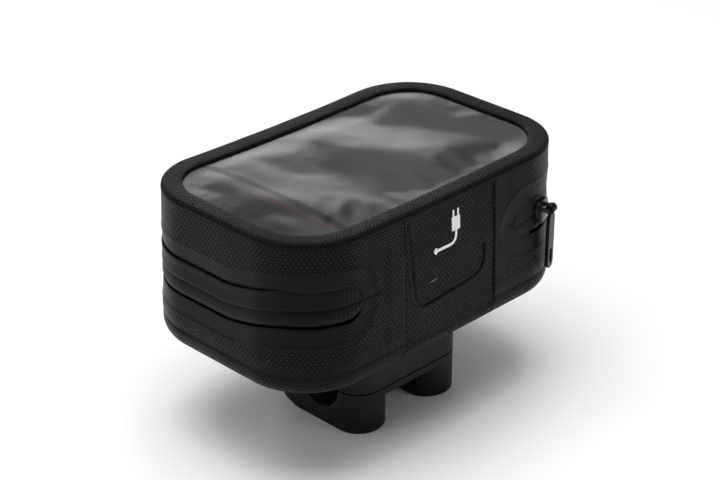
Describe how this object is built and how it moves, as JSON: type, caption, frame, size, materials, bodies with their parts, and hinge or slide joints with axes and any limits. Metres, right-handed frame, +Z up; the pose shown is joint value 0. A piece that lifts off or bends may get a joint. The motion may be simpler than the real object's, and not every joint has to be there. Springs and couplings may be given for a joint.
{
  "type": "bar-mounted tank bag",
  "caption": "Compact zipped tank bag with a clear phone window on top and a two-post clamp under it for a motorcycle handlebar.",
  "frame": {"origin": "on the handlebar's axis, midway between the clamp's two posts", "axes": "+X along the handlebar and the bag's long side, +Z up, -Y towards the bag's cable-outlet side, where the lid is hinged"},
  "size_m": [0.2042, 0.1337, 0.1373],
  "materials": {
    "coated_fabric": "embossed satin coating",
    "rim_fabric": "ribbed matte coating",
    "board": "matte board",
    "clear_film": "soft glossy film",
    "pocket_fabric": "smooth cloth",
    "red_binding": "woven tape",
    "zip_tape": "smooth satin coating",
    "zip_coil": "nylon coil",
    "rubber": "matte",
    "clamp_plastic": "fine satin",
    "steel": "blackened",
    "brass": "turned brass",
    "slider_metal": "black enamel",
    "puller_metal": "gunmetal"
  },
  "bodies": {
    "tub": {"base_shell": "coated_fabric", "hinge_panel_lower": "coated_fabric", "cable_grommet": "rubber", "floor_board": "board", "lower_zip_tape": "zip_tape", "lower_zip_coil": "zip_coil", "zip_end_tape": "zip_tape", "zip_garage": "coated_fabric", "saddle": "clamp_plastic", "clamp_bridge": "clamp_plastic", "bar_liner_upper": "rubber", "bar_liner_lower": "rubber", "clamp_bolts": "steel", "clamp_inserts": "brass", "saddle_screws": "steel", "saddle_washers": "steel"},
    "lid": {"lid_shell": "coated_fabric", "hinge_panel_upper": "coated_fabric", "top_rim": "rim_fabric", "rim_stiffener": "board", "window": "clear_film", "pocket_back": "pocket_fabric", "pocket_binding": "red_binding", "upper_zip_tape": "zip_tape", "upper_zip_coil": "zip_coil"},
    "slider": {"zip_slider": "slider_metal"},
    "puller": {"zip_puller": "puller_metal"}
  },
  "joints": [
    {"name": "lid_hinge", "type": "hinge", "parent": "tub", "child": "lid", "pos_m": [0, -0.05323, 0.0773], "axis": [1, 0, 0], "range_deg": [0, 90]},
    {"name": "slider_travel", "type": "hinge", "parent": "tub", "child": "slider", "pos_m": [0.063, -0.0152, 0.0773], "axis": [0, 0, 1], "range_deg": [-5, 25]},
    {"name": "puller_swing", "type": "hinge", "parent": "slider", "child": "puller", "pos_m": [0.07594, -0.05624, 0.0793], "axis": [-0.9537, -0.3007, 0], "range_deg": [0, 50]}
  ]
}
